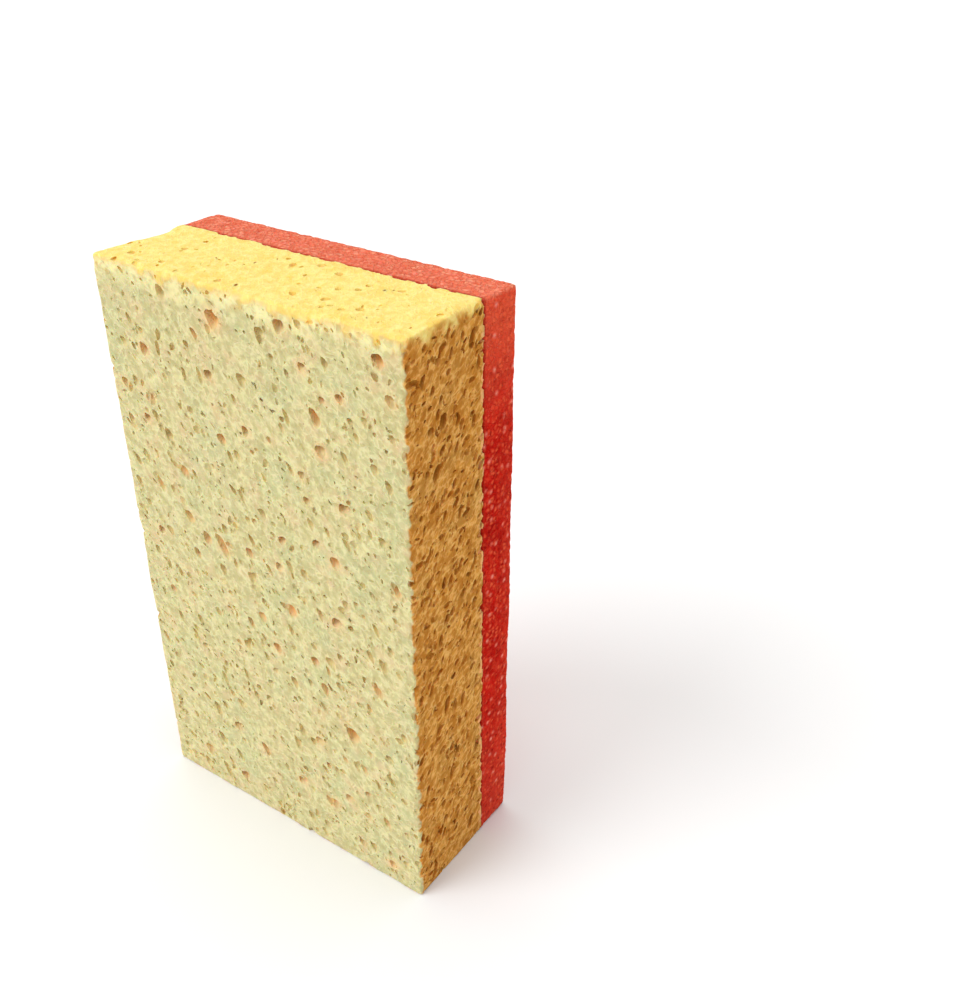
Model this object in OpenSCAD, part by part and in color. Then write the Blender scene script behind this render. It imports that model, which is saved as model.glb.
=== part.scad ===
// Two-layer cleaning sponge, standing on its short end.
// A thick block of cellulose sponge carries a thinner pad of fine foam, bonded face to face.
// +Z is the length of the sponge, X its width, and the cellulose face looks along -Y.
// The origin is at the middle of the end that the sponge stands on.

/* [Sponge] */
// Height of the sponge as it stands, which is its length in the hand
sponge_h = 150; // [110:1:200]
// Width of the two broad faces
sponge_w = 87; // [60:1:120]
// Thickness of the cellulose layer
cellulose_t = 26.5; // [18:0.5:40]
// Thickness of the foam layer
foam_t = 11.5; // [6:0.5:25]

/* [Edges] */
// Rounding of the saw-cut outer edges of the cellulose layer
cellulose_edge_r = 1.2; // [0.4:0.1:3]
// Rounding of the outer edges of the foam layer
foam_edge_r = 0.8; // [0.5:0.1:5]

/* [Grain] */
// Angle by which the pores lean to the left, seen from the cellulose face
grain_lean = 28; // [0:1:60]
// Angle by which the upper ends of the pores lean towards the foam layer
grain_tip = 18; // [0:1:45]
// Most that the mouth of one pore strays from the grain
grain_stray = 9; // [0:1:15]

/* [Large pores] */
// Factor on the size of the large pores in the broad cellulose face
large_pore_scale = 1; // [0.5:0.05:1.3]
// Depth of a large pore, as a share of its width
large_pore_depth = 0.9; // [0.4:0.05:1.5]

/* [Small pores] */
// Small pores in the broad cellulose face, as far as there is room for them
face_pores = 150; // [20:1:170]
// Small pores in each long narrow side of the cellulose layer
side_pores = 66; // [10:1:70]
// Small pores in each end of the cellulose layer
end_pores = 18; // [6:1:40]
// Width of the narrowest small pores
pore_w_min = 1.2; // [0.8:0.1:2]
// Width of the widest small pores
pore_w_max = 2.3; // [2:0.1:3.5]
// Length of the shortest small pores, along the grain
pore_l_min = 2; // [1.5:0.1:4]
// Length of the longest small pores, along the grain
pore_l_max = 4.4; // [4:0.1:8]
// Depth of a small pore, as a share of its width
pore_depth = 1.1; // [0.5:0.05:1.5]
// Least wall left between the mouths of two pores
pore_wall = 0.5; // [0.3:0.1:1.5]
// Bare patch kept in the middle of the end face that the sponge stands on
rest_patch = 12; // [6:1:16]

/* [Hidden] */

cellulose_colour = "#e9d38c";
foam_colour = "#cf2f2c";

sponge_t = cellulose_t + foam_t;
face_y = -sponge_t / 2;            // broad face of the cellulose
bond_y = face_y + cellulose_t;     // plane where the two layers are bonded
pad_y = sponge_t / 2;              // broad face of the foam
mid_y = (face_y + bond_y) / 2;     // middle of the cellulose layer
half_w = sponge_w / 2;
half_h = sponge_h / 2;

large_sides = 8;                   // sides of a large pore
small_sides = 6;                   // sides of a small pore, few because there are hundreds
edge_sides = 12;                   // sides of the cellulose layer's small rounding
foam_sides = 32;                   // sides of the foam layer's rounding
crisp_t = 0.5;                     // least straight part of a layer's edge, beside the bond
places_tried = 12;                 // places tried for each small pore that is asked for
tip_h = 0.01;                      // height of the flat cones that a pore's rings are
rim_h = 0.35;                      // height over the face where a pore's cut starts, in widths
waist = 0.85;                      // width of a pore halfway down, as a share of its mouth
bottom = 0.25;                     // width of a pore's bottom, as a share of its mouth
end_slant = 0.25;                  // least slope that the grain is taken to have to a face

// The grain's own direction, as a unit vector.
GRAIN = [-sin(grain_lean) * cos(grain_tip), sin(grain_tip), cos(grain_lean) * cos(grain_tip)];

// The five open faces of the cellulose layer: the middle, the turn that takes the face's own
// X, Y and outward Z to it, its half sizes, the grain in those axes, and the room along its
// four borders in the order left, right, lower and upper. The bond needs only a thin wall.
edge_room = cellulose_edge_r + pore_wall;
FRONT = [[0, face_y, half_h], [90, 0, 0], [half_w, half_h], [GRAIN.x, GRAIN.z, -GRAIN.y],
         [edge_room, edge_room, edge_room, edge_room]];
RIGHT = [[half_w, mid_y, half_h], [90, 0, 90], [cellulose_t / 2, half_h],
         [GRAIN.y, GRAIN.z, GRAIN.x], [edge_room, pore_wall, edge_room, edge_room]];
LEFT = [[-half_w, mid_y, half_h], [90, 0, -90], [cellulose_t / 2, half_h],
        [-GRAIN.y, GRAIN.z, -GRAIN.x], [pore_wall, edge_room, edge_room, edge_room]];
TOP = [[0, mid_y, sponge_h], [0, 0, 0], [half_w, cellulose_t / 2], [GRAIN.x, GRAIN.y, GRAIN.z],
       [edge_room, edge_room, edge_room, pore_wall]];
BASE = [[0, mid_y, 0], [180, 0, 0], [half_w, cellulose_t / 2], [GRAIN.x, -GRAIN.y, -GRAIN.z],
        [edge_room, edge_room, pore_wall, edge_room]];

// Large pores of the broad cellulose face: per cent across from the left edge, per cent up,
// length along the grain and width in mm.
LARGE = [
    [42, 95, 4.6, 3.4], [64, 97, 2.4, 3.0], [93, 96, 4.0, 3.0], [35, 92, 3.4, 1.6],
    [70, 92, 2.8, 2.2], [15, 87, 3.4, 2.2], [38, 86, 3.0, 2.3], [81, 89, 2.6, 2.1],
    [73, 85, 5.2, 2.6], [74, 80, 2.8, 2.5], [15, 79, 3.4, 1.5], [12, 75, 3.2, 2.3],
    [ 5, 80, 2.8, 1.8], [40, 76, 3.0, 2.2], [96, 91, 3.4, 1.8], [49, 79, 2.6, 2.1],
    [67, 75, 2.4, 2.1], [80, 72, 2.8, 2.8], [68, 71, 2.6, 2.0], [23, 59, 3.4, 2.3],
    [35, 56, 6.2, 2.4], [10, 54, 3.0, 2.4], [70, 64, 2.6, 2.6], [76, 62, 2.8, 2.6],
    [58, 62, 2.4, 2.2], [56, 57, 2.6, 2.2], [59, 49, 3.8, 2.9], [75, 51, 3.0, 3.0],
    [96, 61, 3.0, 2.0], [52, 40, 3.4, 2.3], [66, 41, 2.6, 2.3], [69, 36, 4.0, 2.0],
    [78, 29, 5.2, 4.2], [88, 41, 3.2, 2.2], [16,  7, 3.8, 3.0], [42, 15, 4.4, 2.2],
    [31, 17, 3.0, 2.6], [65, 24, 2.8, 2.4], [31,  5, 3.6, 3.0], [56, 12, 2.8, 2.5],
    [69, 11, 3.4, 3.1], [75, 14, 3.2, 3.0], [90,  4, 2.8, 2.5], [79,  5, 2.8, 2.5],
];

// A number from 0 to 1 that looks random but is the same for the same two seeds.
function hash(a, b) = let (s = sin(a * 127.1 + b * 311.7) * 4375.85) s - floor(s);
function between(lo, hi, t) = lo + (hi - lo) * t;
function lies(face) = atan2(face[3].y, face[3].x);      // angle of the grain within a face
function slant(face) = max(abs(face[3].z), end_slant);  // how steeply it enters the face

// A pore of a face is [x, y, length of its mouth, width, key]. A mouth is as long as the pore,
// or as long as a bubble of that width is where the face cuts it at the grain's slant.
function mouth(face, x, y, l, w, key) = [x, y, max(w, min(l, w / slant(face))), w, key];

function drawn_pore(face, key) =
    mouth(face,
          (2 * hash(key, 1) - 1) * face[2].x, (2 * hash(key, 2) - 1) * face[2].y,
          between(pore_l_min, pore_l_max, hash(key, 3)),
          between(pore_w_min, pore_w_max, pow(hash(key, 4), 1.5)), key);

// Half of a pore's mouth, measured along the face's own X and Y.
function reach_x(face, p) = (p[2] * abs(cos(lies(face))) + p[3] * abs(sin(lies(face)))) / 2;
function reach_y(face, p) = (p[2] * abs(sin(lies(face))) + p[3] * abs(cos(lies(face)))) / 2;

function inside(face, p) =
    p.x - reach_x(face, p) > face[4][0] - face[2].x && p.x + reach_x(face, p) < face[2].x - face[4][1] &&
    p.y - reach_y(face, p) > face[4][2] - face[2].y && p.y + reach_y(face, p) < face[2].y - face[4][3];

// True where two mouths have a wall between them, across the grain or along it.
function apart(face, p, q) =
    let (dx = q.x - p.x, dy = q.y - p.y, a = lies(face))
    abs(dx * cos(a) + dy * sin(a)) > (p[2] + q[2]) / 2 + pore_wall ||
    abs(dy * cos(a) - dx * sin(a)) > (p[3] + q[3]) / 2 + pore_wall;

// Scatters pores over a face, one drawn place after another, and keeps those that have room.
function scatter(face, want, bare, key, kept = [], tried = 0) =
    len(kept) >= want || tried >= want * places_tried ? kept :
    let (p = drawn_pore(face, key + tried),
         fits = inside(face, p) && norm([p.x, p.y]) > bare &&
                len([for (q = kept) if (!apart(face, p, q)) 1]) == 0)
    scatter(face, want, bare, key, fits ? concat(kept, [p]) : kept, tried + 1);

large_pores = [for (i = [0 : len(LARGE) - 1])
    mouth(FRONT, (LARGE[i][0] / 100 - 0.5) * sponge_w, (LARGE[i][1] / 100 - 0.5) * sponge_h,
          LARGE[i][2] * large_pore_scale, LARGE[i][3] * large_pore_scale, 9000 + i)];

// One ring of a pore's wall, as the foot of a flat cone.
module ring(share, spin, sides) {
    rotate(spin)
        cylinder(d1 = share, d2 = 0, h = tip_h, $fn = sides);
}

// One pore, cut from just outside its face: a bowl that is drawn out along the grain,
// and whose bottom lies where the grain leads.
module pore(face, p, deep, sides) {
    g = face[3];
    lead = -sign(g.z) * min(norm([g.x, g.y]) / slant(face), 1) * deep / p[2];
    spin = 90 * hash(p[4], 6);
    translate(face[0])
        rotate(face[1])
            translate([p.x, p.y, 0])
                rotate(lies(face) + grain_stray * (2 * hash(p[4], 5) - 1))
                    scale([p[2], p[3], 1])
                        hull() {
                            translate([0, 0, p[3] * rim_h]) ring(1, spin, sides);
                            translate([lead / 2, 0, -deep / 2]) ring(waist, spin, sides);
                            translate([lead, 0, -deep]) ring(bottom, spin, 3);
                        }
}

module pores_of(face, pores) {
    for (p = pores)
        pore(face, p, p[3] * pore_depth, small_sides);
}

// Small pores of the broad face, less those that would run into a large one.
module broad_face_pores() {
    for (p = scatter(FRONT, face_pores, 0, 1000))
        if (len([for (q = large_pores) if (!apart(FRONT, p, q)) 1]) == 0)
            pore(FRONT, p, p[3] * pore_depth, small_sides);
}

// A slab whose corners and outer edges are rounded, and which is flat and square at the bond.
module slab(bond, outer, r, sides) {
    inward = bond > outer ? 1 : -1;
    round_r = min(r, abs(bond - outer) - crisp_t, half_w / 2);
    hull()
        for (sx = [-1, 1], z = [round_r, sponge_h - round_r])
            translate([sx * (half_w - round_r), 0, z]) {
                translate([0, outer + inward * round_r, 0])
                    sphere(r = round_r / cos(180 / sides), $fn = sides);
                translate([0, bond, 0])
                    rotate([inward * 90, 0, 0])
                        cylinder(r = round_r, h = crisp_t, $fn = sides);
            }
}

module cellulose_block() {
    color(cellulose_colour)
        difference() {
            slab(bond_y, face_y, cellulose_edge_r, edge_sides);
            for (p = large_pores)
                pore(FRONT, p, p[3] * large_pore_depth, large_sides);
            broad_face_pores();
            pores_of(RIGHT, scatter(RIGHT, side_pores, 0, 4000));
            pores_of(LEFT, scatter(LEFT, side_pores, 0, 2000));
            pores_of(TOP, scatter(TOP, end_pores, 0, 6000));
            pores_of(BASE, scatter(BASE, end_pores, rest_patch, 7000));
        }
}

module foam_pad() {
    color(foam_colour)
        slab(bond_y, pad_y, foam_edge_r, foam_sides);
}

cellulose_block();
foam_pad();
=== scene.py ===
import math
import random

import bmesh
import bpy
import numpy as np
from mathutils import Matrix, Vector, noise


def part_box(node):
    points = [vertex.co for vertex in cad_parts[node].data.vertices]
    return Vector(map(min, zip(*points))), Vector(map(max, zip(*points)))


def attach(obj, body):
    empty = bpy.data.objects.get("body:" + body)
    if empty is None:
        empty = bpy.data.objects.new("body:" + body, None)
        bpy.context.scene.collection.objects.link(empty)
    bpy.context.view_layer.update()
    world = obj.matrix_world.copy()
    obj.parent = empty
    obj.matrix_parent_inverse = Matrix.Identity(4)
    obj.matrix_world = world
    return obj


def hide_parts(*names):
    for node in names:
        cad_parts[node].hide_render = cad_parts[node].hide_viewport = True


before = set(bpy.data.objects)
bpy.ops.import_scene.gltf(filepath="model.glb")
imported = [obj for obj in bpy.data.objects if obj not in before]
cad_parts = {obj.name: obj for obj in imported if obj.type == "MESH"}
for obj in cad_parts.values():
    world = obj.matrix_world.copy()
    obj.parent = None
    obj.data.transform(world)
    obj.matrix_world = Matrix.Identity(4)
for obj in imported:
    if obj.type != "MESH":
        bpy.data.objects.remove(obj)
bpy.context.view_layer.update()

# Camera. It stands where the photograph was taken from, to the right of the sponge and above it.
camera = bpy.data.objects.new("camera", bpy.data.cameras.new("camera"))
bpy.context.scene.collection.objects.link(camera)
camera.data.lens = 39.827
camera.data.clip_start = 0.01
camera.location = (0.15889, -0.16347, 0.22649)
camera.rotation_euler = tuple(map(math.radians, (59.638, -0.537, 33.928)))
bpy.context.scene.camera = camera

# Floor and light. A pale floor in an almost white room, and two broad lamps far away: the key in front,
# above and to the left of the sponge, and a warmer one nearly straight above.
bpy.context.scene.view_settings.view_transform = "Standard"
floor = bpy.data.objects.new("floor", bpy.data.meshes.new("floor"))
floor_mesh = bmesh.new()
bmesh.ops.create_grid(floor_mesh, x_segments=1, y_segments=1, size=8)
floor_mesh.to_mesh(floor.data)
floor_mesh.free()
bpy.context.scene.collection.objects.link(floor)
floor_paint = bpy.data.materials.new("floor_paint")
floor_paint.use_nodes = True
paint = floor_paint.node_tree.nodes["Principled BSDF"]
paint.inputs["Base Color"].default_value = (0.88, 0.88, 0.88, 1)
paint.inputs["Roughness"].default_value = 0.9
floor.data.materials.append(floor_paint)

room = bpy.data.worlds.new("room")
bpy.context.scene.world = room
room.use_nodes = True
room.node_tree.nodes["Background"].inputs["Color"].default_value = (0.96, 0.98, 1.0, 1)
room.node_tree.nodes["Background"].inputs["Strength"].default_value = 0.70

for name, towards, power, spread, tint in (
    ("key", (-0.40, -0.62, 0.68), 1.5, 36, (0.98, 0.98, 1.0)),
    ("above", (-0.12, 0.10, 1.0), 0.95, 40, (1.0, 0.96, 0.86)),
):
    lamp = bpy.data.objects.new(name, bpy.data.lights.new(name, "SUN"))
    lamp.data.angle = math.radians(spread)
    lamp.data.energy = power
    lamp.data.color = tint
    lamp.rotation_euler = Vector(towards).to_track_quat("Z", "Y").to_euler()
    bpy.context.scene.collection.objects.link(lamp)

# Cellulose block. The real one is regenerated cellulose, blown full of bubbles that the extruder
# drew out along one grain, and sawn to size, so that its faces cut the bubbles open.
# It is a rounded grid block with uneven faces, from which several thousand bubbles are cut.
block_lo, block_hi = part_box("cellulose_block")
block_size = block_hi - block_lo
block_mid = (block_lo + block_hi) / 2
block_step = 0.0018  # from one line of the grid to the next
edge_lines = (0.0003, 0.0008, 0.0014)  # more lines this far from the edges, for their rounding
least_round, most_round = 0.0006, 0.0026
wear_right, wear_left = 0.4, 0.15  # share of the wear that the edges below the top have
uneven = 0.00022
wear_noise, coarse_noise, close_noise = 190, 120, 330  # about how many lumps fit in a metre
on_face = 1e-6  # what lies this close to a face is on it
on_centre = 1e-7  # what lies this close to its centre isn't moved
mm = 1000


def gridded_box(lo, hi, step):
    """A box with lines about this far apart on all its faces."""
    size = hi - lo
    box = bmesh.new()
    bmesh.ops.create_cube(box, size=1, matrix=Matrix.Translation((lo + hi) / 2) @ Matrix.Diagonal((*size, 1)))
    for axis in range(3):
        along = [e for e in box.edges if abs((e.verts[0].co - e.verts[1].co).normalized()[axis]) > 0.99]
        bmesh.ops.subdivide_edges(box, edges=along, cuts=round(size[axis] / step) - 1, use_grid_fill=True)
    return box


def round_centre(p, lo, hi, r, bond_side):
    """The place that p is rounded about. There is no rounding along the bond."""
    centre = Vector([min(max(p[i], lo[i] + r), hi[i] - r) for i in range(3)])
    if (p.y - centre.y) * bond_side > 0:
        centre.y = p.y
    return centre


grid = gridded_box(block_lo, block_hi, block_step)
for axis in range(3):
    across = Vector([float(i == axis) for i in range(3)])
    for inset in edge_lines:
        for at in (block_lo[axis] + inset, block_hi[axis] - inset):
            bmesh.ops.bisect_plane(grid, geom=grid.verts[:] + grid.edges[:] + grid.faces[:], dist=on_face,
                                   plane_co=across * at, plane_no=across)
for v in grid.verts:
    p = v.co
    worn = min(1, max(0, 0.25 + 1.5 * noise.noise(p * wear_noise + Vector((9, 2, 5)))))
    if p.z < block_hi.z - most_round:
        worn *= wear_right if p.x > 0 else wear_left
    r = least_round + (most_round - least_round) * worn
    if p.z < block_lo.z + most_round:
        r = least_round
    centre = round_centre(p, block_lo, block_hi, r, 1)
    out = p - centre
    if out.length < on_centre:
        continue
    depth = uneven * (noise.noise(p * coarse_noise) + 0.8 * noise.noise(p * close_noise))
    if p.z < block_lo.z + on_face:
        depth = 0
    v.co = centre + out.normalized() * (min(out.length, r) - depth)
grid.normal_update()
block = bpy.data.objects.new("cellulose", bpy.data.meshes.new("cellulose"))
grid.to_mesh(block.data)
grid.free()
bpy.context.scene.collection.objects.link(block)

# The pores that the model's source cuts, by the same rule and in the same places. They are in mm. A
# large pore has its place across and up the broad face, in percent of it, then its length and width.
grain_lean, grain_tip, grain_stray = math.radians(28), math.radians(18), math.radians(9)
grain = Vector((-math.sin(grain_lean) * math.cos(grain_tip), math.sin(grain_tip),
                math.cos(grain_lean) * math.cos(grain_tip)))
least_slope = 0.25  # the grain is taken to meet a face at least this steeply
large_pore_depth, pore_depth = 1.0, 1.15  # as a share of a pore's width
pore_l_min, pore_l_more = 2, 2.4
pore_w_min, pore_w_more = 1.2, 1.1
pore_wall = 0.5
face_pores, side_pores, end_pores = 150, 66, 18
rest_patch = 12
edge, bond = 1.7, 0.5  # margins kept free of small pores along the edges and along the bond
tries_per_pore = 12
large_key = 9000  # keys from here on are large pores
large = [
    (42, 95, 4.6, 3.4), (64, 97, 2.4, 3.0), (93, 96, 4.0, 3.0), (35, 92, 3.4, 1.6),
    (70, 92, 2.8, 2.2), (15, 87, 3.4, 2.2), (38, 86, 3.0, 2.3), (81, 89, 2.6, 2.1),
    (73, 85, 5.2, 2.6), (74, 80, 2.8, 2.5), (15, 79, 3.4, 1.5), (12, 75, 3.2, 2.3),
    (5, 80, 2.8, 1.8), (40, 76, 3.0, 2.2), (96, 91, 3.4, 1.8), (49, 79, 2.6, 2.1),
    (67, 75, 2.4, 2.1), (80, 72, 2.8, 2.8), (68, 71, 2.6, 2.0), (23, 59, 3.4, 2.3),
    (35, 56, 6.2, 2.4), (10, 54, 3.0, 2.4), (70, 64, 2.6, 2.6), (76, 62, 2.8, 2.6),
    (58, 62, 2.4, 2.2), (56, 57, 2.6, 2.2), (59, 49, 3.8, 2.9), (75, 51, 3.0, 3.0),
    (96, 61, 3.0, 2.0), (52, 40, 3.4, 2.3), (66, 41, 2.6, 2.3), (69, 36, 4.0, 2.0),
    (78, 29, 5.2, 4.2), (88, 41, 3.2, 2.2), (16, 7, 3.8, 3.0), (42, 15, 4.4, 2.2),
    (31, 17, 3.0, 2.6), (65, 24, 2.8, 2.4), (31, 5, 3.6, 3.0), (56, 12, 2.8, 2.5),
    (69, 11, 3.4, 3.1), (75, 14, 3.2, 3.0), (90, 4, 2.8, 2.5), (79, 5, 2.8, 2.5),
]


def hashed(a, b):
    """A value from 0 to 1 that looks random, the same as in the source."""
    s = math.sin(math.radians(a * 127.1 + b * 311.7)) * 4375.85
    return s - math.floor(s)


def mouth(face, x, y, length, width, key):
    """A pore's mouth: its place on the face, how long and wide the face cuts it, and its key."""
    slope = max(abs(grain.dot(face["out"])), least_slope)
    return x, y, max(width, min(length, width / slope)), width, key


def apart(face, p, q):
    """Whether a wall is left between two mouths."""
    c, s = math.cos(face["lies"]), math.sin(face["lies"])
    dx, dy = q[0] - p[0], q[1] - p[1]
    return (abs(dx * c + dy * s) > (p[2] + q[2]) / 2 + pore_wall
            or abs(dy * c - dx * s) > (p[3] + q[3]) / 2 + pore_wall)


def scatter(face, want, bare, key):
    """Small pores on a face, as far as they find room in its margins and outside its bare patch."""
    kept = []
    c, s = abs(math.cos(face["lies"])), abs(math.sin(face["lies"]))
    half_x, half_y = face["half"]
    left, right, low, high = face["room"]
    for k in range(key, key + want * tries_per_pore):
        if len(kept) >= want:
            break
        x, y = (2 * hashed(k, 1) - 1) * half_x, (2 * hashed(k, 2) - 1) * half_y
        length = pore_l_min + pore_l_more * hashed(k, 3)
        width = pore_w_min + pore_w_more * hashed(k, 4) ** 1.5
        p = mouth(face, x, y, length, width, k)
        reach_x, reach_y = (p[2] * c + p[3] * s) / 2, (p[2] * s + p[3] * c) / 2
        if (x - reach_x > left - half_x and x + reach_x < half_x - right
                and y - reach_y > low - half_y and y + reach_y < half_y - high
                and math.hypot(x, y) > bare and all(apart(face, p, q) for q in kept)):
            kept.append(p)
    return kept


half_w, half_t, half_h = block_size * mm / 2
faces = []
for across, up, out, half, margins, key, want, bare in (
    ((1, 0, 0), (0, 0, 1), (0, -1, 0), (half_w, half_h), (edge, edge, edge, edge), 1000, face_pores, 0),
    ((0, 1, 0), (0, 0, 1), (1, 0, 0), (half_t, half_h), (edge, bond, edge, edge), 4000, side_pores, 0),
    ((0, -1, 0), (0, 0, 1), (-1, 0, 0), (half_t, half_h), (bond, edge, edge, edge), 2000, side_pores, 0),
    ((1, 0, 0), (0, 1, 0), (0, 0, 1), (half_w, half_t), (edge, edge, edge, bond), 6000, end_pores, 0),
    ((1, 0, 0), (0, -1, 0), (0, 0, -1), (half_w, half_t), (edge, edge, bond, edge), 7000, end_pores,
     rest_patch),
):
    across, up, out = Vector(across), Vector(up), Vector(out)
    face = {"across": across, "up": up, "out": out, "half": half, "room": margins,
            "mid": block_mid + out * abs(out.dot(block_size)) / 2,
            "lies": math.atan2(grain.dot(up), grain.dot(across))}
    pores = scatter(face, want, bare, key)
    if out.y < -0.5:
        big = [mouth(face, (p[0] / 100 - 0.5) * 2 * half[0], (p[1] / 100 - 0.5) * 2 * half[1],
                     p[2], p[3], large_key + i) for i, p in enumerate(large)]
        pores = big + [p for p in pores if all(apart(face, p, q) for q in big)]
    face["pores"] = pores
    faces.append(face)
broad = faces[0]


def directions(face, turn):
    """Two directions along a face, square to each other, at this turn on it."""
    return (face["across"] * math.cos(turn) + face["up"] * math.sin(turn),
            face["up"] * math.cos(turn) - face["across"] * math.sin(turn))


rng = random.Random(11)
bubbles = []  # each has its centre, the matrix that makes it from a ball, and how fine the ball is
for face in faces:
    steep = grain.dot(face["out"])
    slope = max(abs(steep), least_slope)
    sideways = (grain - face["out"] * steep).length
    for x, y, length, width, key in face["pores"]:
        is_large = key >= large_key
        deep = width * (large_pore_depth if is_large else pore_depth) / mm
        lengthwise, crosswise = directions(face, face["lies"] + grain_stray * (2 * hashed(key, 5) - 1))
        lead = -math.copysign(1, steep) * min(sideways / slope, 1) * deep
        at = face["mid"] + (face["across"] * x + face["up"] * y) / mm
        shape = Matrix((lengthwise * length / 2 / mm, crosswise * width / 2 / mm,
                        face["out"] * deep - lengthwise * lead)).transposed()
        bubbles.append((at, shape, 3 if is_large else 2))
        if is_large:  # a deeper bubble opens in its wall
            inner_at = (at - face["out"] * deep * 0.6 + lengthwise * lead * rng.uniform(0.3, 0.8)
                        + crosswise * rng.uniform(-0.2, 0.2) * width / mm)
            inner_r = width * rng.uniform(0.24, 0.34) / mm
            bubbles.append((inner_at, Matrix.Diagonal((inner_r, inner_r * 1.5, inner_r * 1.2)), 2))

# The finer bubbles, too small and too many for the source: fields of them over each face. They lie
# flatter than the large ones. Each kind has the face area in mm2 for one bubble on the front, the sides
# and the ends, its least and greatest width in mm, its length and its depth on the same faces as shares
# of its width, and how fine its ball is.
fine_grain = Vector((-0.48, 0.68, 0.55)).normalized()
for spacing, least, most, stretch, depth, level in (
    ((24, 12, 90), 0.9, 1.9, (1.1, 1.9), (0.45, 0.5, 0.25), 2),
    ((13, 7, 50), 0.45, 1.0, (1.2, 2.4), (0.6, 0.85, 0.4), 1),
):
    for face in faces:
        kind = 0 if face["out"].y < -0.5 else 1 if abs(face["out"].x) > 0.5 else 2
        half_x, half_y = face["half"]
        drift = fine_grain - face["out"] * fine_grain.dot(face["out"])
        lies = math.atan2(drift.dot(face["up"]), drift.dot(face["across"]))
        for i in range(round(4 * half_x * half_y / spacing[kind])):
            x = rng.uniform(-1, 1) * half_x
            y = rng.uniform(-1, 1) * half_y
            wide = least + (most - least) * rng.random() ** 2
            long = wide * rng.uniform(*stretch)
            lengthwise, crosswise = directions(face, lies + rng.gauss(0, 0.5))
            raised = rng.uniform(-0.25, 0.15) * wide
            at = face["mid"] + (face["across"] * x + face["up"] * y + face["out"] * raised) / mm
            shape = Matrix((lengthwise * long / 2 / mm, crosswise * wide / 2 / mm,
                            face["out"] * depth[kind] * wide / mm)).transposed()
            bubbles.append((at, shape, level))
bite_spacing = 2.2
for face in faces[1:]:  # bites out of the sawn edge along the bond
    run = face["across"] if abs(face["up"].y) > 0.5 else face["up"]
    reach = abs(run.dot(block_size)) / 2
    bond_edge = face["mid"] + Vector((0, block_hi.y - block_mid.y, 0))
    stretched = Vector((1 + 0.6 * abs(run.x), 0.8, 1 + 0.6 * abs(run.z)))
    for i in range(round(reach * 2 * mm / bite_spacing)):
        wide = rng.uniform(0.35, 0.95) / mm
        at = bond_edge + run * rng.uniform(-1, 1) * reach
        bubbles.append((at, Matrix.Diagonal(stretched * wide), 1))

balls = {}
for level in (1, 2, 3):
    ball = bmesh.new()
    bmesh.ops.create_icosphere(ball, subdivisions=level, radius=1)
    balls[level] = (np.array([v.co for v in ball.verts]),
                    np.array([[v.index for v in f.verts] for f in ball.faces]))
    ball.free()

# Bubbles that would overlap go into different cuts.
cuts = []
for at, shape, level in bubbles:
    reach = max(column.length for column in shape.transposed())
    for cut in cuts:
        n = cut["n"]
        if np.all(np.linalg.norm(cut["at"][:n] - np.array(at), axis=1) > cut["reach"][:n] + reach):
            break
    else:
        cut = {"at": np.zeros((len(bubbles), 3)), "reach": np.zeros(len(bubbles)), "n": 0, "balls": []}
        cuts.append(cut)
    cut["at"][cut["n"]] = at
    cut["reach"][cut["n"]] = reach
    cut["n"] += 1
    cut["balls"].append((at, shape, level))


def settle(piece):
    """Applies a piece's modifiers to its mesh."""
    done = bpy.data.meshes.new_from_object(piece.evaluated_get(bpy.context.evaluated_depsgraph_get()))
    piece.modifiers.clear()
    piece.data = done


# The cutters have a material of their own, so that the walls of the bubbles can be told from the faces.
bubble_wall = bpy.data.materials.new("bubble_wall")
lump_height, lump_scale, lump_shift = 0.34, 3.3, 3000  # no two balls have the same lumps
block.data.materials.append(None)
for cut in cuts:
    verts, tris, start = [], [], 0
    for at, shape, level in cut["balls"]:
        v, t = balls[level]
        waves = np.sin(v * lump_scale + np.array(at) * lump_shift).sum(axis=1)[:, None]
        lumps = 1 + lump_height * waves / 3
        verts.append(v * lumps @ np.array(shape).T + np.array(at))
        tris.append(t + start)
        start += len(v)
    cutter = bpy.data.objects.new("cutter", bpy.data.meshes.new("cutter"))
    cutter.data.from_pydata(np.concatenate(verts).tolist(), [], np.concatenate(tris).tolist())
    cutter.data.materials.append(bubble_wall)
    bpy.context.scene.collection.objects.link(cutter)
    cutting = block.modifiers.new("cut", "BOOLEAN")
    cutting.operation = "DIFFERENCE"
    cutting.solver = "MANIFOLD"
    cutting.material_mode = "TRANSFER"
    cutting.object = cutter
    settle(block)
    bpy.data.objects.remove(cutter)

block_triangles = 188000
thin = block.modifiers.new("thin", "DECIMATE")
thin.ratio = min(1, block_triangles / sum(len(p.vertices) - 2 for p in block.data.polygons))
settle(block)

# Crumbs that the cuts left loose come out, and so do bubbles that are closed in the block and faces that
# are folded on each other. The slits that are left are filled or drawn together.
whole = bmesh.new()
whole.from_mesh(block.data)
bmesh.ops.dissolve_degenerate(whole, edges=whole.edges[:], dist=2e-6)
unseen, islands = set(whole.verts), []
while unseen:
    island, queue = [], [unseen.pop()]
    while queue:
        v = queue.pop()
        island.append(v)
        for e in v.link_edges:
            if e.other_vert(v) in unseen:
                queue.append(e.other_vert(v))
                unseen.remove(queue[-1])
    islands.append(island)
islands.sort(key=len)
bmesh.ops.delete(whole, geom=[v for island in islands[:-1] for v in island], context="VERTS")
folded = [f for f in whole.faces if any(len(e.link_faces) > 2 for e in f.edges)]
bmesh.ops.delete(whole, geom=folded, context="FACES")
bmesh.ops.holes_fill(whole, edges=[e for e in whole.edges if len(e.link_faces) == 1])
slit = [v for v in whole.verts if any(len(e.link_faces) == 1 for e in v.link_edges)]
bmesh.ops.remove_doubles(whole, verts=slit, dist=4e-4)
whole.to_mesh(block.data)
whole.free()

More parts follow.
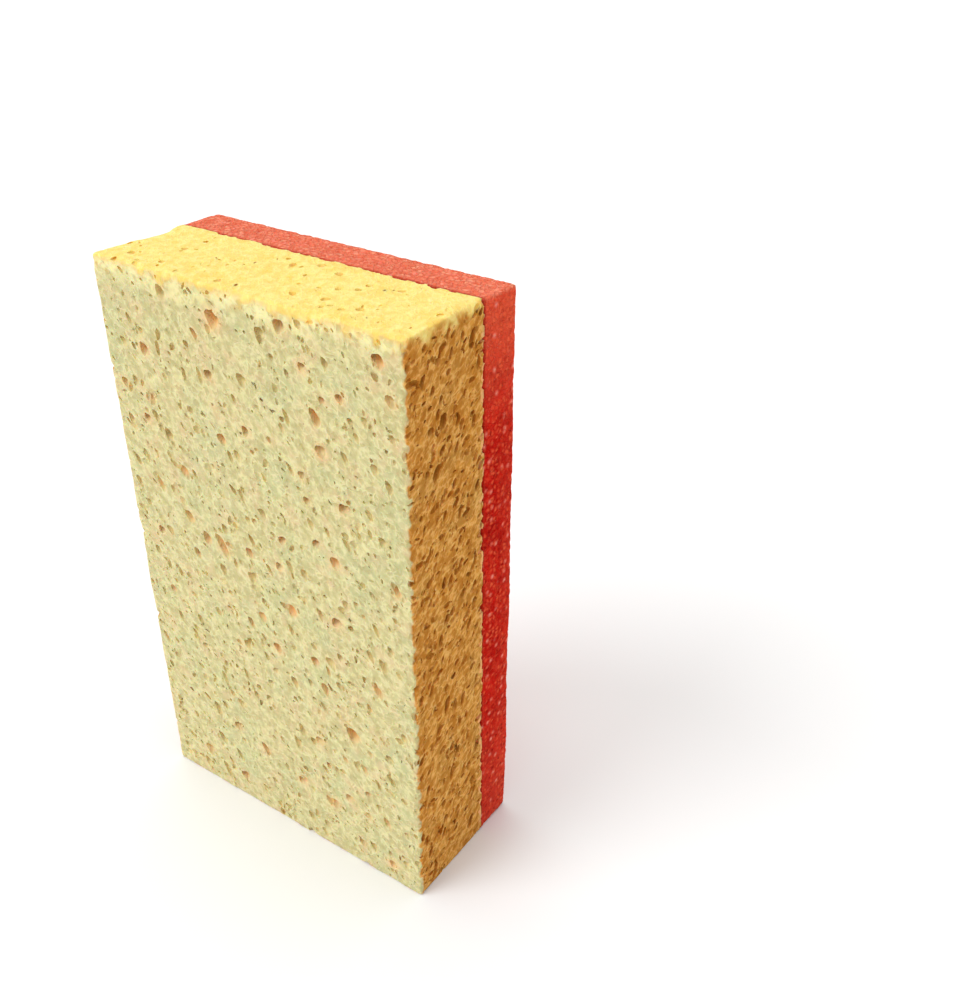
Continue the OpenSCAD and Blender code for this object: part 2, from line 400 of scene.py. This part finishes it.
# What the material needs to know of the mesh: which faces are walls of bubbles, and how near a point lies to
# the large pores of the broad face, and to those and some of its small ones whose walls get a painted orange
# glow too.
mesh = block.data
points = np.empty(len(mesh.vertices) * 3)
mesh.vertices.foreach_get("co", points)
points = points.reshape(-1, 3)
halo, pore_glow = np.zeros(len(points)), np.zeros(len(points))
for x, y, length, width, key in broad["pores"]:
    is_large = key >= large_key
    if is_large or hashed(key, 8) > 0.8:
        far = np.linalg.norm((points - np.array(broad["mid"])) * mm - (x, 0, y), axis=1) / width
        near = np.clip(1 - (far - 0.5) / 0.7, 0, 1)
        halo = np.maximum(halo, near * hashed(key, 7) * is_large)
        pore_glow = np.maximum(pore_glow, np.clip(2 * near, 0, 1) * (0.4 + 0.6 * hashed(key, 8)))
in_pore = np.empty(len(mesh.polygons), dtype=np.int32)
mesh.polygons.foreach_get("material_index", in_pore)
for name, domain, values in (
    ("halo", "POINT", halo),
    ("pore_glow", "POINT", pore_glow),
    ("in_pore", "FACE", in_pore),
):
    mesh.attributes.new(name, "FLOAT", domain).data.foreach_set("value", values.astype(np.float32))
mesh.polygons.foreach_set("material_index", np.zeros(len(mesh.polygons), dtype=np.int32))
mesh.materials.clear()
mesh.polygons.foreach_set("use_smooth", np.ones(len(mesh.polygons), dtype=bool))
mesh.set_sharp_from_angle(angle=math.radians(50))

# Its colours: the broad face is straw with a green tinge and has some orange pores, the sides are amber with
# brown pores, the ends are yellow, and the rim along the bond is orange. Part of this is painted light:
# painted shade and painted orange bounce light in the sides' amber, painted light from above in the ends'
# yellow, and painted shade and glow in the pores.
straw_dim, straw, straw_wall_light = (0.55, 0.485, 0.23, 1), (0.68, 0.61, 0.31, 1), (0.78, 0.71, 0.385, 1)
straw_warm, straw_green, straw_top_light = (0.73, 0.54, 0.30, 1), (0.52, 0.55, 0.29, 1), (0.92, 0.83, 0.40, 1)
straw_dent_shade, straw_halo = (0.47, 0.38, 0.17, 1), (0.86, 0.56, 0.29, 1)
straw_pore, straw_pore_deep = (0.80, 0.66, 0.32, 1), (0.82, 0.64, 0.28, 1)
orange_pore, orange_pore_deep = (0.82, 0.57, 0.28, 1), (0.95, 0.50, 0.17, 1)
# Painted shade and painted orange bounce light are part of the sides' amber below.
amber_dim, amber, amber_wall_light = (0.48, 0.18, 0.020, 1), (0.68, 0.30, 0.050, 1), (0.84, 0.46, 0.14, 1)
amber_dull, amber_dent_shade = (0.50, 0.27, 0.06, 1), (0.40, 0.145, 0.016, 1)
brown_pore, brown_pore_deep = (0.46, 0.17, 0.018, 1), (0.32, 0.10, 0.007, 1)
# Painted light from above is part of the ends' yellow below.
yellow_dim, yellow, yellow_wall_light = (0.82, 0.59, 0.155, 1), (0.87, 0.67, 0.205, 1), (0.91, 0.73, 0.26, 1)
yellow_warm, yellow_dent_shade = (0.84, 0.52, 0.09, 1), (0.80, 0.56, 0.13, 1)
yellow_pore, yellow_pore_deep = (0.94, 0.66, 0.16, 1), (0.94, 0.58, 0.11, 1)
bond_rim = (0.90, 0.42, 0.16, 1)

sponge = bpy.data.materials.new("cellulose_sponge")
sponge.use_nodes = True
tree = sponge.node_tree
skin = tree.nodes["Principled BSDF"]
mesh.materials.append(sponge)


def add(kind, settings=(), **inputs):
    """A new node in the tree that is being made. An input is a value or another node's output."""
    node = tree.nodes.new("ShaderNode" + kind)
    for key, value in dict(settings).items():
        setattr(node, key, value)
    for key, value in inputs.items():
        socket = node.inputs[int(key[1:])] if key[0] == "_" else node.inputs[key]
        if isinstance(value, bpy.types.NodeSocket):
            tree.links.new(value, socket)
        else:
            socket.default_value = value
    return node


def mixed(fac, a, b):
    return add("Mix", {"data_type": "RGBA", "blend_type": "MIX"}, _0=fac, _6=a, _7=b).outputs[2]


def ranged(value, low, high, to_low=0.0, to_high=1.0):
    return add("MapRange", {"interpolation_type": "SMOOTHSTEP"}, _0=value, _1=low, _2=high, _3=to_low,
               _4=to_high).outputs[0]


def math_of(operation, a, b=0.0, c=0.0):
    return add("Math", {"operation": operation}, _0=a, _1=b, _2=c).outputs[0]


def times(a, b):
    return math_of("MULTIPLY", a, b)


def plus(a, b):
    return math_of("ADD", a, b)


def less(a, b):
    return math_of("SUBTRACT", a, b)


def smaller(a, b):
    return math_of("MINIMUM", a, b)


def larger(a, b):
    return math_of("MAXIMUM", a, b)


def clouds(vector, scale, detail, roughness):
    return add("TexNoise", Vector=vector, Scale=scale, Detail=detail, Roughness=roughness).outputs[0]


def bent(vector, amount):
    """A position that sways to and fro, so that the cells on it have bent walls."""
    sway = add("TexNoise", Vector=vector, Scale=620, Detail=1).outputs[1]
    moved = add("VectorMath", {"operation": "SCALE"}, _0=sway, Scale=amount).outputs[0]
    return add("Mapping", {"vector_type": "POINT"}, Vector=vector, Location=moved).outputs[0]


def to_cell_wall(vector, scale):
    return add("TexVoronoi", {"feature": "DISTANCE_TO_EDGE"}, Vector=vector, Scale=scale,
               Randomness=1.0).outputs[0]


def cells(vector, scale):
    """How far a point lies from the middle of its cell, and random values for the whole cell."""
    cell = add("TexVoronoi", {"feature": "F1"}, Vector=vector, Scale=scale, Randomness=1.0)
    return cell.outputs["Distance"], add("SeparateColor", Color=cell.outputs["Color"]).outputs


def inside(position, face_at, sign):
    """How far in mm a position lies inside a face. The sign is 1 for a low face and -1 for a high one."""
    return math_of("MULTIPLY_ADD", position, 1000.0 * sign, -1000 * sign * face_at)


def depths(lo, hi):
    """How far a point lies inside the faces at low and high Y, the nearer side, the top, the nearer end."""
    x, y, z = add("SeparateXYZ", Vector=place).outputs
    side = inside(math_of("ABSOLUTE", x), hi.x, -1)
    top = inside(z, hi.z, -1)
    return inside(y, lo.y, 1), inside(y, hi.y, -1), side, top, smaller(top, inside(z, lo.z, 1))


place = add("TexCoord").outputs["Object"]
turned = add("VectorRotate", {"rotation_type": "EULER_XYZ"}, Vector=place,
             Rotation=fine_grain.to_track_quat("Z", "Y").inverted().to_euler()).outputs[0]
drawn = add("Mapping", {"vector_type": "POINT"}, Vector=turned, Scale=(1, 1, 0.5)).outputs[0]
mottle = clouds(drawn, 560, 3, 0.6)
crumb = clouds(drawn, 2100, 2, 0.6)
patch = clouds(place, 90, 2, 0.5)
fleck = clouds(drawn, 230, 2, 0.5)
lobe = clouds(place, 210, 2, 0.6)
beads = clouds(place, 480, 1, 0.4)
cell_scale, pin_scale = 820, 560
swaying = bent(drawn, 0.0014)
to_wall = to_cell_wall(swaying, cell_scale)
walls = ranged(to_wall, 0.20, 0.03)
open_cell = times(ranged(cells(swaying, cell_scale)[1][0], 0.45, 0.7), ranged(to_wall, 0.03, 0.30))
to_pin, pin_draws = cells(swaying, pin_scale)
pins = times(ranged(to_pin, 0.44, 0.14), ranged(pin_draws[0], 0.45, 0.7))

# Each point takes its colours from the face that it lies nearest to, and these colours are partly painted
# light. The borders wander, because the edges are torn by bubbles, and near the top the end's colour, with
# its painted light from above, reaches down over the others in places.
to_front, to_bond, to_side, to_top, to_end = depths(block_lo, block_hi)
under = smaller(smaller(to_front, to_side), to_end)
torn = plus(times(ranged(lobe, 0.42, 0.66, -0.2, 2.6), ranged(to_top, 20.0, 10.0)),
            ranged(to_top, 20.0, 10.0, -1.8, 0.0))
end = ranged(plus(less(smaller(to_side, to_front), to_end), torn), -2.2, 1.1)
strayed = ranged(lobe, 0.35, 0.60, 1.2, -0.3)
front = ranged(plus(less(smaller(to_side, to_end), to_front), strayed), -0.5, 0.5)
front = times(front, less(1.0, end))
pore, near_large, glowing = [add("Attribute", {"attribute_name": name}).outputs["Fac"]
                             for name in ("in_pore", "halo", "pore_glow")]
open_cell = times(open_cell, ranged(end, 0.0, 1.0, 1.0, 0.25))
pins = times(pins, ranged(end, 0.0, 1.0, 1.0, 0.2))


def by_face(on_side, on_end, on_front):
    return mixed(front, mixed(end, on_side, on_end), on_front)


tone = ranged(mottle, 0.36, 0.64)
# Painted light: the front is painted paler along its lobed top edge, where it rounds over towards the lit
# top.
near_top = ranged(plus(to_top, times(lobe, 14.0)), 13.5, 7.5)
on_front = mixed(tone, straw_dim, straw)
on_front = mixed(times(ranged(fleck, 0.50, 0.66), 0.55), on_front, straw_warm)
on_front = mixed(times(ranged(patch, 0.48, 0.66), 0.42), on_front, straw_green)
on_front = mixed(times(near_top, 0.85), on_front, straw_top_light)
on_side = mixed(tone, amber_dim, amber)
on_side = mixed(times(ranged(patch, 0.50, 0.68), 0.4), on_side, amber_dull)
on_end = mixed(tone, yellow_dim, yellow)
on_end = mixed(times(ranged(fleck, 0.56, 0.72), 0.45), on_end, yellow_warm)
surface = by_face(on_side, on_end, on_front)
# Painted highlight: the raised cell walls are painted lighter, as where light catches them.
surface = mixed(times(walls, times(tone, 0.7)), surface, by_face(amber_wall_light, yellow_wall_light, straw_wall_light))
surface = mixed(times(near_large, 0.7), surface, straw_halo)
# Painted shade and painted glow in the pores: their walls are painted brown on the sides, yellow-orange on
# the ends and orange in the glowing ones of the front, and change deeper in.
hole = by_face(brown_pore, yellow_pore, mixed(glowing, straw_pore, orange_pore))
hole_deep = by_face(brown_pore_deep, yellow_pore_deep, mixed(glowing, straw_pore_deep, orange_pore_deep))
hole = mixed(ranged(under, 0.6, 1.9), hole, hole_deep)
base = mixed(times(pore, ranged(under, 0.05, 0.8)), surface, hole)
# Painted shade in the dents: the open cells and pins are painted darker.
dent_shade = by_face(amber_dent_shade, yellow_dent_shade, straw_dent_shade)
base = mixed(times(open_cell, 0.35), base, dent_shade)
base = mixed(times(pins, 0.45), base, dent_shade)
rim = ranged(plus(to_bond, times(beads, 5.0)), 3.5, 2.7)
base = mixed(times(rim, less(1.0, end)), base, bond_rim)
height = plus(times(mottle, 0.7), times(crumb, 0.3))
height = plus(height, times(walls, 0.30))
height = less(height, times(open_cell, 0.45))
height = less(height, times(pins, 0.5))
bump = add("Bump", Strength=0.5, Distance=0.0005, Height=height)
tree.links.new(base, skin.inputs["Base Color"])
tree.links.new(bump.outputs[0], skin.inputs["Normal"])
skin.inputs["Roughness"].default_value = 0.9
skin.inputs["Specular IOR Level"].default_value = 0.08
skin.inputs["Subsurface Weight"].default_value = 0.5
skin.inputs["Subsurface Radius"].default_value = (1.0, 0.5, 0.2)
skin.inputs["Subsurface Scale"].default_value = 0.0016

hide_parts("cellulose_block")
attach(block, "root")

# Foam pad. The real one is fine open-celled foam, cut to the size of the block and bonded to it.
# It is a rounded grid slab, swollen a little along its sides, with cells pressed into its surface.
pad_lo, pad_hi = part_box("foam_pad")
pad_size = pad_hi - pad_lo
pad_round = 0.0008
pad_step = 0.00046
least_swell, more_swell = 0.00045, 0.0005
cell_depth, lump_depth = 0.00032, 0.00013
cell_noise, lump_noise = 900, 420

slab = gridded_box(pad_lo, pad_hi, pad_step)
bonded = [f for f in slab.faces if f.calc_center_median().y < pad_lo.y + on_face]
bmesh.ops.dissolve_faces(slab, faces=bonded, use_verts=False)
for v in slab.verts:
    p = v.co.copy()
    centre = round_centre(p, pad_lo, pad_hi, pad_round, -1)
    out = p - centre
    if out.length < on_centre:
        continue
    normal = out.normalized()
    q = centre + normal * min(out.length, pad_round)
    from_bond = min(1, (p.y - pad_lo.y) / pad_round)
    loose = min(1, 1.6 * (p.y - pad_lo.y) / pad_size.y)
    up = (p.z - pad_lo.z) / pad_size.z
    waves = noise.noise(Vector((math.copysign(3, p.x), 7, up * 5)))
    swell = loose * (least_swell + more_swell * waves) * min(1, 8 * up)
    pit = max(0, 0.62 - noise.voronoi(q * cell_noise)[0][0])
    lump = noise.noise(q * lump_noise) + 0.3
    depth = (cell_depth * pit + lump_depth * lump) * from_bond
    if p.z < pad_lo.z + on_face:
        depth = max(depth, 0)
    v.co = q - normal * depth
    if abs(normal.x) > 0.5:
        v.co.x += math.copysign(swell, p.x)
    if p.y < pad_lo.y + on_face:
        v.co.y = pad_lo.y
slab.normal_update()
pad = bpy.data.objects.new("foam", bpy.data.meshes.new("foam"))
slab.to_mesh(pad.data)
slab.free()
for poly in pad.data.polygons:
    poly.use_smooth = True
bpy.context.scene.collection.objects.link(pad)

# Its colours: the foam is red and paler on its ends. Painted light makes it lighter towards its edges and its
# top and a little near its bottom, leaving painted shade across its middle, and it carries painted glints.
red_dim, red_plain, red_edge_glow = (0.48, 0.005, 0.002, 1), (0.68, 0.013, 0.005, 1), (0.86, 0.07, 0.03, 1)
red_top_light, red_low_light, red_end = (0.95, 0.14, 0.06, 1), (0.88, 0.11, 0.055, 1), (0.74, 0.17, 0.095, 1)
red_grit, end_grit = (0.88, 0.08, 0.03, 1), (0.96, 0.36, 0.23, 1)
red_lit, end_lit = (0.93, 0.13, 0.05, 1), (1.0, 0.37, 0.23, 1)
red_dark, end_dark = (0.30, 0.002, 0.0005, 1), (0.55, 0.07, 0.035, 1)
red_bond, red_glint, red_glint_core = (0.42, 0.02, 0.006, 1), (0.97, 0.20, 0.13, 1), (1.0, 0.40, 0.31, 1)

foam = bpy.data.materials.new("red_foam")
foam.use_nodes = True
tree = foam.node_tree
skin = tree.nodes["Principled BSDF"]
pad.data.materials.append(foam)
place = add("TexCoord").outputs["Object"]
haze = clouds(place, 130, 3, 0.55)
grit = clouds(place, 700, 2, 0.6)
foam_cell_scale, spark_scale = 780, 330
swaying = bent(place, 0.0012)
to_wall = to_cell_wall(swaying, foam_cell_scale)
to_middle, cell_draws = cells(swaying, foam_cell_scale)
bright = times(ranged(to_middle, 0.65, 0.15), ranged(cell_draws[1], 0.45, 0.80))
dark = times(ranged(to_middle, 0.55, 0.12), ranged(cell_draws[1], 0.45, 0.20))
to_spark, spark_draws = cells(place, spark_scale)
there = ranged(spark_draws[0], 0.15, 0.35)
glints = times(ranged(to_spark, 0.32, 0.06), there)
glint_cores = times(ranged(to_spark, 0.16, 0.0), there)

to_bond, to_back, to_side, to_top, to_end = depths(pad_lo, pad_hi)
to_edge = larger(smaller(to_side, to_back), smaller(larger(to_side, to_back), to_end))
end = ranged(to_end, 1.2, 0.0)

red = mixed(ranged(haze, 0.28, 0.72), red_dim, red_plain)
# Painted glow of light through the foam, lighter near its edges.
red = mixed(times(ranged(to_edge, 7.0, 0.0), 0.25), red, red_edge_glow)
# Painted light from above and through the top, lighter near the top.
red = mixed(times(ranged(to_top, 34.0, 0.0), 0.65), red, red_top_light)
# Painted light near the bottom, which leaves painted shade across the middle.
red = mixed(ranged(to_top, 100.0, 150.0, 0.0, 0.3), red, red_low_light)
red = mixed(times(end, 0.7), red, red_end)
red = mixed(times(ranged(grit, 0.46, 0.64), 0.32), red, mixed(end, red_grit, end_grit))
red = mixed(times(bright, 0.6), red, mixed(end, red_lit, end_lit))
# The dark cells are fainter near the top, along with the painted light there.
red = mixed(times(dark, ranged(to_top, 0.0, 45.0, 0.35, 0.7)), red, mixed(end, red_dark, end_dark))
red = mixed(times(ranged(to_bond, 0.9, 0.2), 0.6), red, red_bond)
# Painted glints: bright specks where cell membranes would catch the light.
red = mixed(times(glints, 0.8), red, red_glint)
red = mixed(times(glint_cores, 0.65), red, red_glint_core)
height = less(times(ranged(to_wall, 0.16, 0.0), 0.7), times(ranged(to_middle, 0.5, 0.1), 0.6))
height = plus(height, times(grit, 0.5))
bump = add("Bump", Strength=0.9, Distance=0.0004, Height=height)
tree.links.new(red, skin.inputs["Base Color"])
tree.links.new(bump.outputs[0], skin.inputs["Normal"])
tree.links.new(ranged(glints, 0.0, 1.0, 0.75, 0.35), skin.inputs["Roughness"])
skin.inputs["Specular IOR Level"].default_value = 0.03
skin.inputs["Subsurface Weight"].default_value = 0.4
skin.inputs["Subsurface Radius"].default_value = (1.0, 0.25, 0.12)
skin.inputs["Subsurface Scale"].default_value = 0.003

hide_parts("foam_pad")
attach(pad, "root")
